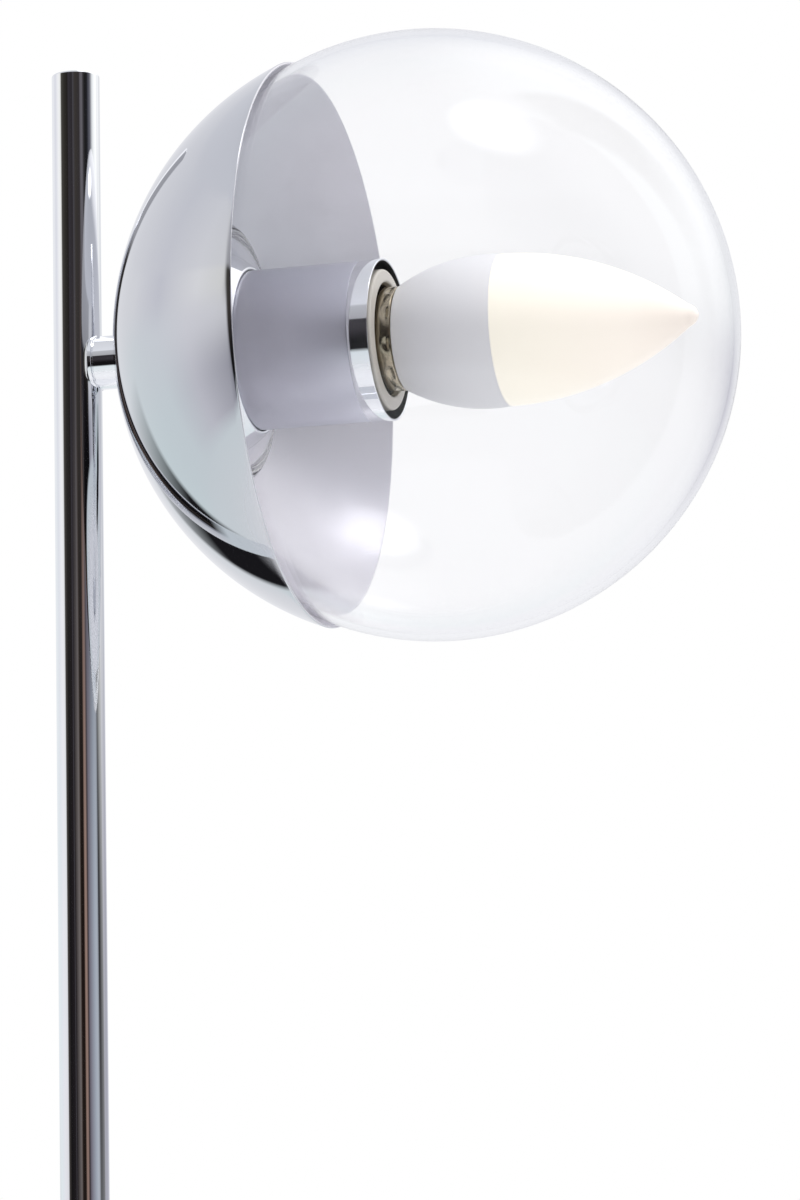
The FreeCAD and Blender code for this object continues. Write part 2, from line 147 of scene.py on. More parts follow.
# ---- outlines, in millimetres -------------------------------------------------------------------
def through(start, middle, end, steps):
    """Points after start on the circle through three points, as far as end."""
    (ax, ay), (bx, by), (cx, cy) = start, middle, end
    cross = 2 * (ax * (by - cy) + bx * (cy - ay) + cx * (ay - by))
    a, b, c = ax * ax + ay * ay, bx * bx + by * by, cx * cx + cy * cy
    ox = (a * (by - cy) + b * (cy - ay) + c * (ay - by)) / cross
    oy = (a * (cx - bx) + b * (ax - cx) + c * (bx - ax)) / cross
    radius = math.hypot(ax - ox, ay - oy)
    first = math.atan2(ay - oy, ax - ox)
    half = (math.atan2(by - oy, bx - ox) - first) % math.tau
    sweep = (math.atan2(cy - oy, cx - ox) - first) % math.tau
    if half > sweep:
        sweep -= math.tau
    turns = [first + sweep * step / steps for step in range(1, steps + 1)]
    return [(ox + radius * math.cos(turn), oy + radius * math.sin(turn)) for turn in turns]


def soften(corners, closed=True):
    """An outline of (place, radius, rounding) corners, with each corner rounded off by that radius."""
    points = []
    count = len(corners)
    for index, corner in enumerate(corners):
        here = Vector(corner[:2])
        rounding = corner[2] if len(corner) > 2 else 0
        at_end = not closed and index in (0, count - 1)
        before = Vector(corners[index - 1][:2]) - here
        after = Vector(corners[(index + 1) % count][:2]) - here
        if rounding == 0 or at_end or before.length == 0 or after.length == 0:
            points.append(tuple(here))
            continue
        half = before.angle(after) / 2
        reach = min(rounding / math.tan(half), 0.48 * before.length, 0.48 * after.length)
        first = here + before.normalized() * reach
        last = here + after.normalized() * reach
        towards = (before.normalized() + after.normalized()).normalized()
        depth = reach / math.cos(half) - reach * math.tan(half)
        middle = here + towards * depth
        steps = max(3, math.ceil((math.pi - 2 * half) / math.radians(15)))
        points.append(tuple(first))
        points += through(tuple(first), tuple(middle), tuple(last), steps)
    return points


def from_head(x):
    """A place along the head's axis in mm from the globe's centre, for an x of the frame in metres."""
    return x / MM - HEAD.x / MM


def on_sphere(place, centre, radius):
    """The distance from the axis at which a sphere passes a place on it."""
    return math.sqrt(max(radius ** 2 - (place - centre) ** 2, 0))


def sphere_place(distance, centre, radius):
    """The place behind the centre at which a sphere is that far from the axis."""
    return centre - math.sqrt(radius ** 2 - distance ** 2)


# ---- modelling ----------------------------------------------------------------------------------
def let_go():
    """Leave edit mode and deselect everything."""
    if bpy.context.object and bpy.context.object.mode != "OBJECT":
        bpy.ops.object.mode_set(mode="OBJECT")
    bpy.ops.object.select_all(action="DESELECT")


def pick(piece):
    """Make the piece the only one selected."""
    let_go()
    piece.select_set(True)
    bpy.context.view_layer.objects.active = piece
    return piece


def settle(piece, sharp=30):
    """Bake the piece's place into its mesh and shade it smooth up to the sharp angle."""
    pick(piece)
    bpy.ops.object.transform_apply(location=True, rotation=True, scale=True)
    bpy.ops.object.shade_smooth_by_angle(angle=math.radians(sharp))
    even = piece.modifiers.new("even", "WEIGHTED_NORMAL")
    even.keep_sharp = True
    bpy.ops.object.modifier_apply(modifier=even.name)
    return piece


def turned(name, outline, head=True, closed=True, sharp=30, segments=None):
    """Draw a ring of vertices, then pull and resize it from point to point of the outline.

    A closed outline is a section that meets itself, an open one starts and ends on the axis.
    """
    let_go()
    sides = segments or bpy.context.scene.lamp_sizes.segments
    points = [(place * MM, max(radius, TINY) * MM) for place, radius in outline]
    if closed:
        points.append(points[0])
    place, radius = points[0]
    bpy.ops.mesh.primitive_circle_add(vertices=sides, radius=radius, location=(0, 0, place))
    piece = bpy.context.object
    piece.name = piece.data.name = name
    bpy.ops.object.mode_set(mode="EDIT")
    bpy.ops.mesh.select_all(action="SELECT")
    for next_place, next_radius in points[1:]:
        bpy.ops.mesh.extrude_region_move(
            TRANSFORM_OT_translate={"value": (0, 0, next_place - place), "orient_type": "GLOBAL"})
        grow = next_radius / radius
        bpy.ops.transform.resize(
            value=(grow, grow, 1), orient_type="GLOBAL", center_override=(0, 0, next_place))
        place, radius = next_place, next_radius
    bpy.ops.mesh.select_all(action="SELECT")
    bpy.ops.mesh.remove_doubles(threshold=TINY * MM * 2.2)
    bpy.ops.mesh.normals_make_consistent(inside=False)
    bpy.ops.object.mode_set(mode="OBJECT")
    bpy.ops.object.transform_apply(location=True, rotation=True, scale=True)
    if head:
        piece.rotation_euler = (0, math.pi / 2, 0)
        piece.location = HEAD
    return settle(piece, sharp)


def carve(piece, cutter):
    """Cut the cutter out of the piece and throw the cutter away."""
    pick(piece)
    cut = piece.modifiers.new("cut", "BOOLEAN")
    cut.operation = "DIFFERENCE"
    cut.solver = "EXACT"
    cut.object = cutter
    bpy.ops.object.modifier_apply(modifier=cut.name)
    bpy.data.objects.remove(cutter)
    return piece


def bar(name, radius, start, end, sides=96):
    """A plain round cutter from start to end."""
    let_go()
    line = end - start
    bpy.ops.mesh.primitive_cylinder_add(
        vertices=sides, radius=radius, depth=line.length, location=(start + end) / 2,
        rotation=line.to_track_quat("Z", "Y").to_euler())
    tool = bpy.context.object
    tool.name = name
    bpy.ops.object.transform_apply(location=True, rotation=True, scale=True)
    return tool


def press_in(piece, depth_at):
    """Push a turned piece's vertices towards the head's axis, by depth_at their x, turn and radius."""
    for vertex in piece.data.vertices:
        off = vertex.co - HEAD
        radius = math.hypot(off.y, off.z)
        drop = 1 - depth_at(off.x, math.atan2(off.y, off.z) / math.tau, radius) / radius
        vertex.co.y = HEAD.y + off.y * drop
        vertex.co.z = HEAD.z + off.z * drop
    piece.data.update()


def thread(piece, back, front, depth, pitch):
    """Roll a round thread into a turned piece of the head between two places, in mm."""
    run_out = 0.5 * pitch

    def depth_at(place, turn, radius):
        fade = min((place - back * MM) / run_out, (front * MM - place) / run_out, 1.0)
        wave = 0.5 - 0.5 * math.cos(math.tau * (place / pitch + turn))
        return depth * MM * max(fade, 0.0) * wave

    press_in(piece, depth_at)


def stake(piece, place, count, depth, width=1.3, reach=0.8):
    """Punch dimples round a turned piece of the head, as the press that fixes a cap on its bulb does."""
    def depth_at(x, turn, radius):
        turn *= count
        across = (turn - round(turn)) * math.tau * radius / count / (width * MM)
        along = (x - place * MM) / (reach * MM)
        return depth * MM * math.exp(-across ** 2 - along ** 2)

    press_in(piece, depth_at)


def finish_piece(piece, body, slot, materials, *nodes):
    """Give a piece its materials and its body, and hide the solids that it stands for. The slot is not
    used.
    """
    piece.data.materials.clear()
    for material in materials if isinstance(materials, (list, tuple)) else [materials]:
        piece.data.materials.append(material)
    if nodes:
        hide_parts(*nodes)
    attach(piece, body)
    return piece


# ---- materials ----------------------------------------------------------------------------------
COLOURS = {"data_type": "RGBA"}                    # for a Mix node, whose i6 and i7 are then its colours
SMOOTH = {"interpolation_type": "SMOOTHSTEP"}      # for a Map Range node


def rgba(values):
    """A linear colour with full alpha, as a colour socket takes it."""
    return (*tuple(values)[:3], 1)


def add(tree, kind, settings=None, stops=(), **inputs):
    """A node of that kind with its settings, its ramp's stops, and its inputs set or linked.

    An input is named by its label, with _ for a space, or as i and its number.
    """
    node = tree.nodes.new(kind)
    for name, value in (settings or {}).items():
        setattr(node, name, value)
    if stops:
        band = node.color_ramp
        while len(band.elements) > 1:
            band.elements.remove(band.elements[-1])
        for index, (place, level) in enumerate(stops):
            stop = band.elements[0] if index == 0 else band.elements.new(place)
            stop.position = place
            stop.color = rgba(linear(level))
    for name, value in inputs.items():
        numbered = name[0] == "i" and name[1:].isdigit()
        socket = node.inputs[int(name[1:]) if numbered else name.replace("_", " ")]
        if isinstance(value, bpy.types.NodeSocket):
            tree.links.new(value, socket)
        else:
            socket.default_value = value
    return node


def blank(name):
    """A new material without nodes, and its node tree."""
    material = bpy.data.materials.new(name)
    material.use_nodes = True
    material.node_tree.nodes.clear()
    return material, material.node_tree


def close(tree, shader):
    """Send the shader to the material's surface."""
    add(tree, "ShaderNodeOutputMaterial", Surface=shader.outputs[0])


def grain(tree, size, detail=2.0, stretch=(1, 1, 1)):
    """A noise pattern whose spots are that many millimetres wide, on Object coordinates."""
    where = add(tree, "ShaderNodeTexCoord")
    mapping = add(tree, "ShaderNodeMapping", Vector=where.outputs["Object"], Scale=stretch)
    return add(
        tree, "ShaderNodeTexNoise", Vector=mapping.outputs[0], Scale=1 / (size * MM), Detail=detail,
        Roughness=0.5).outputs[0]


def shade(values, share):
    """A colour dimmed to a share of its brightness."""
    return [value * share for value in values]


# The range that most of a noise pattern's values lie in.
NOISE = {"From_Min": 0.3, "From_Max": 0.7}


def dressed(name, base, metallic=0.0, roughness=(0.4, 0.5), size=1.0, spread=0.06, bump=0.0, ior=None,
            stretch=(1, 1, 1), bump_size=None):
    """A surface whose tone and gloss vary in spots of a real size, with a fine relief if asked."""
    material, tree = blank(name)
    spots = grain(tree, size, stretch=stretch)
    tone = add(tree, "ShaderNodeMix", COLOURS, i0=spots, i6=rgba(shade(base, 1 - spread)), i7=rgba(base))
    gloss = add(
        tree, "ShaderNodeMapRange", Value=spots, To_Min=roughness[0], To_Max=roughness[1], **NOISE)
    shader = add(
        tree, "ShaderNodeBsdfPrincipled", Metallic=metallic, Base_Color=tone.outputs[2],
        Roughness=gloss.outputs[0])
    if ior:
        shader.inputs["IOR"].default_value = ior
    if bump:
        relief = grain(tree, bump_size or size, detail=3.0, stretch=stretch)
        bumped = add(tree, "ShaderNodeBump", Strength=0.6, Distance=bump * MM, Height=relief)
        tree.links.new(bumped.outputs[0], shader.inputs["Normal"])
    close(tree, shader)
    return material


def chrome_plate():
    """Chromium over drawn steel tube, buffed: a hard mirror with a trace of cloudiness."""
    colours = bpy.context.scene.lamp_colours
    return dressed("Buffed chrome plate", colours.chrome, 1.0, (0.015, 0.04), size=14.0, spread=0.03)


def spun_chrome():
    """Chromium over spun steel: a soft mirror, a little cloudier than tube, faintly spotted in tone and
    gloss.
    """
    colours = bpy.context.scene.lamp_colours
    return dressed("Chrome on spun steel", colours.dome, 1.0, (0.02, 0.035), size=22.0, spread=0.03)


def satin_dome():
    """The dome's inside, plated but not buffed: light spreads over it without a clear reflection."""
    colours = bpy.context.scene.lamp_colours
    return dressed("Satin chrome inside", colours.dome_inside, 0.7, (0.38, 0.44), size=9.0, spread=0.04)


def ring_bore_painted_shade():
    """Near-black paint on the ring's inside: painted shade deep in the ring's bore."""
    return dressed(
        "Painted shade inside ring", linear("#141416"), 0.0, (0.4, 0.5), size=2.0, spread=0.2, ior=1.5)


def satin_nickel():
    """Nickel plating brushed round the tube: fine hoops that draw highlights out along the tube."""
    colours = bpy.context.scene.lamp_colours
    return dressed(
        "Brushed satin nickel", colours.satin, 1.0, (0.36, 0.40), size=0.5, spread=0.02,
        stretch=(1, 0.04, 0.04))


def glazed_ceramic():
    """Steatite lampholder body: off-white, fired, with a thin half-matt glaze."""
    colours = bpy.context.scene.lamp_colours
    return dressed("Glazed steatite", colours.ceramic, 0.0, (0.3, 0.42), size=3.0, spread=0.05, bump=0.01,
                   ior=1.55)


def shell_metal():
    """Nickel over rolled brass, thin enough for a warm tone, with creases from thread rolling."""
    return dressed("Nickel on rolled brass", linear("#AEA38F"), 1.0, (0.12, 0.24), size=1.4, spread=0.18,
                   bump=0.05)


def clear_glass():
    """Blown soda-lime glass: clear, faintly cool where it is deep, with slow waves in its surface."""
    colours = bpy.context.scene.lamp_colours
    material, tree = blank("Blown soda-lime glass")
    waves = grain(tree, 38.0, detail=0.0)
    relief = add(tree, "ShaderNodeBump", Strength=0.25, Distance=0.12 * MM, Height=waves)
    shader = add(
        tree, "ShaderNodeBsdfPrincipled", Base_Color=rgba(colours.glass), Transmission_Weight=1.0,
        IOR=1.33, Roughness=0.0, Normal=relief.outputs[0])
    close(tree, shader)
    return material


def opal_envelope():
    """Opal acrylic over lit diodes: an even warm glow, softer towards the tip."""
    colours = bpy.context.scene.lamp_colours
    material, tree = blank("Lit opal acrylic")
    where = add(tree, "ShaderNodeTexCoord")
    place = add(tree, "ShaderNodeSeparateXYZ", Vector=where.outputs["Object"]).outputs[0]
    seam, tip = HEAD.x + 18 * MM, HEAD.x + 66 * MM
    glow = add(tree, "ShaderNodeMapRange", Value=place, From_Min=seam, From_Max=tip).outputs[0]
    body = add(
        tree, "ShaderNodeMix", COLOURS, i0=glow, i6=rgba(colours.diffuser), i7=rgba(linear("#FBF3EA")))
    light = add(
        tree, "ShaderNodeMix", COLOURS, i0=glow, i6=rgba(linear("#FFF5D8")), i7=rgba(linear("#FFF0E2")))
    strength = add(tree, "ShaderNodeMapRange", Value=glow, To_Min=0.33, To_Max=0.38)
    gloss = add(
        tree, "ShaderNodeMapRange", Value=grain(tree, 6.0), To_Min=0.28, To_Max=0.36, **NOISE)
    shader = add(
        tree, "ShaderNodeBsdfPrincipled", Base_Color=body.outputs[2], Roughness=gloss.outputs[0], IOR=1.49,
        Emission_Color=light.outputs[2], Emission_Strength=strength.outputs[0])
    close(tree, shader)
    return material


def bulb_plastic():
    """Moulded white polycarbonate: bright, smooth and slightly soft in its gloss."""
    colours = bpy.context.scene.lamp_colours
    return dressed("Moulded white polycarbonate", colours.housing, 0.0, (0.34, 0.42), size=4.0, spread=0.02,
                   bump=0.004, bump_size=0.6, ior=1.58)


# name, colour, metallic, roughness from-to, spot size in mm, tone spread, relief in mm, IOR
PLAIN = {
    # Grey iron as cast and tumbled: dark and grainy, hardly shining.
    "cast_iron": ("Tumbled cast iron", "#3A3B3D", 0.4, (0.6, 0.8), 1.2, 0.2, 0.08, None),
    # Closed-cell rubber foam: deep matt black with fine pores.
    "black_foam": ("Closed-cell foam", "#17181A", 0.0, (0.85, 0.95), 0.7, 0.25, 0.1, 1.5),
    # Moulded nylon: black with a low even sheen.
    "black_plastic": ("Moulded black nylon", "#1B1B1D", 0.0, (0.42, 0.52), 0.8, 0.1, 0.01, 1.53),
    # Bright zinc plating on turned steel: bluish grey, a little streaky.
    "zinc_steel": ("Zinc-plated steel", "#C3C7CC", 1.0, (0.25, 0.4), 1.5, 0.12, 0.0, None),
    # Phosphor bronze strip: warm reddish metal, smooth from rolling.
    "spring_bronze": ("Phosphor bronze strip", "#C08A5B", 1.0, (0.22, 0.34), 1.0, 0.1, 0.0, None),
    # Machined brass: yellow metal with bright cut faces.
    "brass": ("Machined brass", "#C9A75E", 1.0, (0.2, 0.34), 0.8, 0.1, 0.0, None),
    # Cast silicone: cloudy pale rubber with a soft sheen.
    "silicone": ("Translucent silicone", "#E3E4E6", 0.0, (0.45, 0.55), 1.5, 0.05, 0.0, 1.41),
    # Glass-fibre board under green solder mask.
    "circuit_board": ("Solder-masked board", "#2E6B46", 0.0, (0.3, 0.42), 1.0, 0.15, 0.01, 1.55),
    # Brown PVC insulation, extruded and slightly shiny.
    "brown_lead": ("Brown PVC sleeve", "#5C3A26", 0.0, (0.35, 0.45), 1.0, 0.1, 0.0, 1.53),
    # Blue PVC insulation, extruded and slightly shiny.
    "blue_lead": ("Blue PVC sleeve", "#2A4F93", 0.0, (0.35, 0.45), 1.0, 0.1, 0.0, 1.53),
}
MADE = {}


def plain(slot):
    """The material of that slot in PLAIN, made once."""
    if slot not in MADE:
        name, hexes, metallic, gloss, size, spread, relief, ior = PLAIN[slot]
        MADE[slot] = dressed(name, linear(hexes), metallic, gloss, size, spread, relief, ior)
    return MADE[slot]


def made(maker):
    """What the maker makes, made once."""
    if maker.__name__ not in MADE:
        MADE[maker.__name__] = maker()
    return MADE[maker.__name__]


# ---- studio -------------------------------------------------------------------------------------
def by_turn(stops):
    """Places on a ramp over the azimuth, for (degrees, colour) stops."""
    return [((degrees + 180) / 360, level) for degrees, level in stops]


def by_height(stops):
    """Places on a ramp over the height above the horizon, for (degrees, colour) stops."""
    return [((math.sin(math.radians(degrees)) + 1) / 2, level) for degrees, level in stops]


# Towards the overhead softbox, from the globe.
SOFTBOX = (0.354, -0.136, 0.926)
# Towards the bright panel above and behind the lamp, on the globe's side.
BACK_PANEL = (0.54, 0.45, 0.71)
# Each bright panel: where it is, the degrees from its middle to its end and to its full level, that level.
PANELS = ((SOFTBOX, 15, 5, 4.5), (BACK_PANEL, 46, 12, 1.4))
# The even light that matt surfaces get from all round, and the colour of the dark gap.
PLAIN_LIGHT, GAP = "#E2E2E5", "#1E1D20"
# The sines of the heights between which the ring's upper level takes over from the lower one, and the
# lower one from the floor's.
RISE, KNEE = (0.1, 0.26), (-0.2, 0.14)
# What stands round the lamp above the table, level by level: the dark room behind the camera, white
# panels at both sides and behind, and the thin gaps between them.
FLOOR_RING = by_turn([
    (-180, "#F4F5F8"), (-150, "#F4F5F8"), (-124, "#E6F3F4"), (-98, "#E8F2F4"), (-80, "#DEDEE5"),
    (-64, "#BCBCC4"), (-57, "#A0A0A9"), (-55, "#151416"), (12, "#141315"), (15, "#3A3430"),
    (34, "#2E2A28"), (52, "#1B1A1C"), (58, "#77777C"), (76, "#A4A7AE"), (90, "#DCDEE2"), (180, "#F4F5F8")])
LOW_RING = by_turn([
    (-180, "#E9E9EE"), (-150, "#F6F7FA"), (-119, "#EDF4F6"), (-98, "#EEF2F6"), (-80, "#F4F4F8"),
    (-66, "#F2F2F5"), (-59, "#EDEDEF"), (-55, "#4C4744"), (-42, "#191718"), (-20, "#242023"),
    (-17, "#4A474C"), (-14, "#1E1A1D"), (7, "#77706E"), (10, "#5A504C"), (14, "#1D1512"),
    (27, "#1D1512"), (30, "#8C7468"), (36, "#A4887E"), (44, "#2A2528"), (50, "#77727E"),
    (78, "#A9B1BD"), (92, "#B2B9C2"), (97, "#7B7F88"), (99, "#131314"), (127, "#1D1C22"),
    (131, "#8B8B99"), (165, "#B4B4C0"), (180, "#E9E9EE")])
HIGH_RING = by_turn([
    (-180, "#EDEEF2"), (-119, "#F4F5F8"), (-98, "#E6E7EE"), (-75, "#FFFFFF"), (-62, "#F6F6F2"),
    (-56, "#4A4843"), (-40, "#33312D"), (-22, "#24211F"), (-19, "#38353A"), (0, "#2F2C2F"),
    (3, "#4A484D"), (14, "#3C3835"), (34, "#353233"), (38, "#5E5B60"), (46, "#6B686E"),
    (54, "#3A383B"), (62, "#1E1E1F"), (74, "#242428"), (80, "#4C4D56"), (92, "#6F6F78"),
    (98, "#B9BCC0"), (112, "#D2D7D5"), (131, "#D8DCDC"), (135, "#8E9094"), (141, "#8E9094"),
    (145, "#D4D8D9"), (180, "#EDEEF2")])
# The room by height, from straight down to straight up.
SKY = by_height([
    (-90, "#F2F2F4"), (-50, "#F4F7F9"), (-24, "#E9F2F4"), (0, "#F4F5F8"), (22, "#ECEDF2"),
    (45, "#E6E8EE"), (90, "#DCDEE3")])
# How far the ring reaches down and up.
BELT = by_height([
    (-90, "#000000"), (-26, "#000000"), (-21, "#FFFFFF"), (18, "#FFFFFF"), (20, "#BCBCBC"),
    (37, "#A0A0A0"), (40, "#000000"), (90, "#000000")])
# A dark gap between the backdrop and the left softbox, from the table up to eye level.
GAP_TURN = by_turn([
    (-180, "#000000"), (-143, "#000000"), (-141, "#FFFFFF"), (-122, "#FFFFFF"), (-120, "#000000"),
    (180, "#000000")])
GAP_HEIGHT = by_height([
    (-90, "#000000"), (-49, "#000000"), (-41, "#FFFFFF"), (-16, "#FFFFFF"), (5, "#000000"),
    (90, "#000000")])


# ---- operators ----------------------------------------------------------------------------------
class LAMP_OT_stage(bpy.types.Operator):
    """Table, white backdrop, soft lamps and camera"""

    bl_idname = "lamp.stage"
    bl_label = "Stage"

    def execute(self, context):
        self.camera(context)
        self.table(context)
        self.studio(context)
        self.lamps()
        scene = context.scene
        scene.view_settings.view_transform = "Standard"
        scene.cycles.max_bounces = 20
        scene.cycles.transmission_bounces = 18
        scene.cycles.glossy_bounces = 8
        return {"FINISHED"}

    def camera(self, context):
        view = context.scene.lamp_view
        flat = math.cos(view.elevation)
        towards = -Vector((
            math.sin(view.azimuth) * flat, -math.cos(view.azimuth) * flat, math.sin(view.elevation)))
        right = towards.cross(Vector((0, 0, 1))).normalized()
        up = right.cross(towards)
        aim = towards * math.cos(view.yaw) + right * math.sin(view.yaw)
        right = right * math.cos(view.yaw) - towards * math.sin(view.yaw)
        tilted = aim * math.cos(view.pitch) + up * math.sin(view.pitch)
        up = up * math.cos(view.pitch) - aim * math.sin(view.pitch)
        side = right * math.cos(view.roll) + up * math.sin(view.roll)
        top = up * math.cos(view.roll) - right * math.sin(view.roll)
        let_go()
        bpy.ops.object.camera_add()
        camera = context.object
        camera.name = camera.data.name = "lamp_camera"
        camera.matrix_world = Matrix((
            (side.x, top.x, -tilted.x, 0), (side.y, top.y, -tilted.y, 0),
            (side.z, top.z, -tilted.z, 0), (0, 0, 0, 1)))
        camera.location = HEAD - towards * view.distance
        camera.data.sensor_fit = "VERTICAL"
        camera.data.sensor_height = view.sensor
        camera.data.lens = view.lens
        camera.data.clip_end = 50
        context.scene.camera = camera

    def table(self, context):
        """A round table that fades to the white of the backdrop away from the lamp."""
        radius, border = 0.55, 0.3
        fade_from, fade_to = 0.2, 0.5
        let_go()
        bpy.ops.mesh.primitive_circle_add(vertices=96, radius=radius, fill_type="NGON")
        table = context.object
        table.name = table.data.name = "table"
        bpy.ops.object.mode_set(mode="EDIT")
        bpy.ops.mesh.select_all(action="SELECT")
        bpy.ops.mesh.inset(thickness=border)
        bpy.ops.object.mode_set(mode="OBJECT")
        material, tree = blank("Matt white laminate")
        where = add(tree, "ShaderNodeTexCoord").outputs["Object"]
        away = add(tree, "ShaderNodeVectorMath", {"operation": "LENGTH"}, i0=where).outputs["Value"]
        fade = add(
            tree, "ShaderNodeMapRange", SMOOTH, Value=away, From_Min=fade_from, From_Max=fade_to)
        pale = context.scene.lamp_colours.floor
        tone = add(
            tree, "ShaderNodeMix", COLOURS, i0=grain(tree, 40.0), i6=rgba(shade(pale, 0.98)), i7=rgba(pale))
        matt = add(tree, "ShaderNodeBsdfPrincipled", Roughness=0.7, Base_Color=tone.outputs[2])
        clear = add(tree, "ShaderNodeBsdfTransparent")
        close(tree, add(
            tree, "ShaderNodeMixShader", i0=fade.outputs[0], i1=matt.outputs[0], i2=clear.outputs[0]))
        table.data.materials.append(material)

    def studio(self, context):
        """White all round for the camera and through the glass, and a room for what mirrors it."""
        world = bpy.data.worlds.new("studio")
        context.scene.world = world
        world.use_nodes = True
        tree = world.node_tree
        tree.nodes.clear()
        room = self.room(tree)
        path = add(tree, "ShaderNodeLightPath").outputs
        mirrored = add(tree, "ShaderNodeMath", {"operation": "MINIMUM"}, i0=path["Glossy Depth"], i1=1.0)
        lit = add(
            tree, "ShaderNodeMix", COLOURS, i0=mirrored.outputs[0], i6=rgba(linear(PLAIN_LIGHT)), i7=room)
        bounces = add(
            tree, "ShaderNodeMath", {"operation": "ADD"}, i0=path["Glossy Depth"], i1=path["Diffuse Depth"])
        straight = add(tree, "ShaderNodeMath", {"operation": "LESS_THAN"}, i0=bounces.outputs[0], i1=0.5)
        through_glass = add(
            tree, "ShaderNodeMath", {"operation": "MULTIPLY"}, i0=straight.outputs[0],
            i1=path["Is Transmission Ray"])
        open_view = add(
            tree, "ShaderNodeMath", {"operation": "MAXIMUM"}, i0=through_glass.outputs[0],
            i1=path["Is Camera Ray"])
        shown = add(
            tree, "ShaderNodeMix", COLOURS, i0=open_view.outputs[0], i6=lit.outputs[2], i7=(1, 1, 1, 1))
        light = add(tree, "ShaderNodeBackground", Color=shown.outputs[2], Strength=1.0)
        add(tree, "ShaderNodeOutputWorld", Surface=light.outputs[0])

    def room(self, tree):
        """What stands round the lamp, as a colour for each direction."""
        where = add(tree, "ShaderNodeTexCoord").outputs["Generated"]
        x, y, z = add(tree, "ShaderNodeSeparateXYZ", Vector=where).outputs
        front = add(tree, "ShaderNodeMath", {"operation": "MULTIPLY"}, i0=y, i1=-1.0)
        turn = add(tree, "ShaderNodeMath", {"operation": "ARCTAN2"}, i0=x, i1=front.outputs[0])
        share = add(
            tree, "ShaderNodeMapRange", Value=turn.outputs[0], From_Min=-math.pi, From_Max=math.pi)
        height = add(tree, "ShaderNodeMapRange", Value=z, From_Min=-1.0, From_Max=1.0)
        low_ring, high_ring, floor_ring, gap_turn = (
            add(tree, "ShaderNodeValToRGB", stops=stops, Fac=share.outputs[0]).outputs[0]
            for stops in (LOW_RING, HIGH_RING, FLOOR_RING, GAP_TURN))
        sky, belt, gap_height = (
            add(tree, "ShaderNodeValToRGB", stops=stops, Fac=height.outputs[0]).outputs[0]
            for stops in (SKY, BELT, GAP_HEIGHT))
        rise, knee = (
            add(tree, "ShaderNodeMapRange", SMOOTH, Value=z, From_Min=start, From_Max=end).outputs[0]
            for start, end in (RISE, KNEE))
        gap = add(tree, "ShaderNodeMath", {"operation": "MULTIPLY"}, i0=gap_turn, i1=gap_height)
        ring = add(tree, "ShaderNodeMix", COLOURS, i0=rise, i6=low_ring, i7=high_ring)
        ring = add(tree, "ShaderNodeMix", COLOURS, i0=knee, i6=floor_ring, i7=ring.outputs[2])
        room = add(tree, "ShaderNodeMix", COLOURS, i0=belt, i6=sky, i7=ring.outputs[2])
        room = add(
            tree, "ShaderNodeMix", COLOURS, i0=gap.outputs[0], i6=room.outputs[2], i7=rgba(linear(GAP)))
        for aim, outer, inner, level in PANELS:
            facing = add(
                tree, "ShaderNodeVectorMath", {"operation": "DOT_PRODUCT"}, i0=where,
                i1=Vector(aim).normalized())
            spot = add(
                tree, "ShaderNodeMapRange", SMOOTH, Value=facing.outputs["Value"],
                From_Min=math.cos(math.radians(outer)), From_Max=math.cos(math.radians(inner)))
            room = add(
                tree, "ShaderNodeMix", COLOURS, i0=spot.outputs[0], i6=room.outputs[2],
                i7=rgba([level] * 3))
        return room.outputs[2]

    def lamps(self):
        """A soft oval overhead lamp, which lights the bulb, the dome's inside and the table."""
        distance = 0.9
        let_go()
        bpy.ops.object.light_add(type="AREA", location=HEAD + distance * Vector(SOFTBOX))
        lamp = bpy.context.object
        lamp.name = lamp.data.name = "overhead_softbox"
        lamp.data.shape = "ELLIPSE"
        lamp.data.size = 0.42
        lamp.data.size_y = 0.32
        lamp.data.energy = 4.0
        lamp.visible_glossy = False
        lamp.visible_transmission = False
        lamp.rotation_euler = (HEAD - lamp.location).to_track_quat("-Z", "Y").to_euler()


class LAMP_OT_base(bpy.types.Operator):
    """Base cover, foam pad and cord gland"""

    bl_idname = "lamp.base"
    bl_label = "Base"

    def execute(self, context):
        sizes = context.scene.lamp_sizes
        outer, edge = sizes.base_radius / MM, sizes.base_edge / MM
        sheet, low, top, hole = 1.2, 1.0, BASE_HIGH.z / MM, NIPPLE_HOLE
        cover = turned("base_cover_shell", soften([
            (low, outer - sheet, 0.3), (low, outer, 0.3), (top, outer, edge), (top, hole, 0.2),
            (top - sheet, hole, 0.2), (top - sheet, outer - sheet, edge - sheet)]), head=False)
        gland_z = 5.8 * MM
        behind, within = Vector((-0.09, 0, gland_z)), Vector((-0.07, 0, gland_z))
        carve(cover, bar("gland_hole", 3.75 * MM, behind, within))
        finish_piece(settle(cover), "lamp", "chrome", made(chrome_plate), "base_cover")
        pad_r, thick = outer - 3, 2
        pad = turned("base_foam", soften([
            (0, TINY), (0, pad_r, 0.4), (thick, pad_r, 0.4), (thick, TINY)], closed=False),
            head=False, closed=False)
        finish_piece(pad, "lamp", "black_foam", plain("black_foam"), "base_pad")
        gland = turned("cord_bush", soften([
            (-2.2, 3.6, 0.5), (-1.0, 4.4, 0.3), (0, 4.4, 0.2), (0, 3.7), (8, 3.7, 0.3), (8, 2.9, 0.3),
            (-2.2, 2.9, 0.6)]), head=False, segments=64)
        gland.rotation_euler = (0, math.pi / 2, 0)
        gland.location = (-outer * MM, 0, gland_z)
        finish_piece(settle(gland), "lamp", "black_plastic", plain("black_plastic"), "cord_gland")
        return {"FINISHED"}


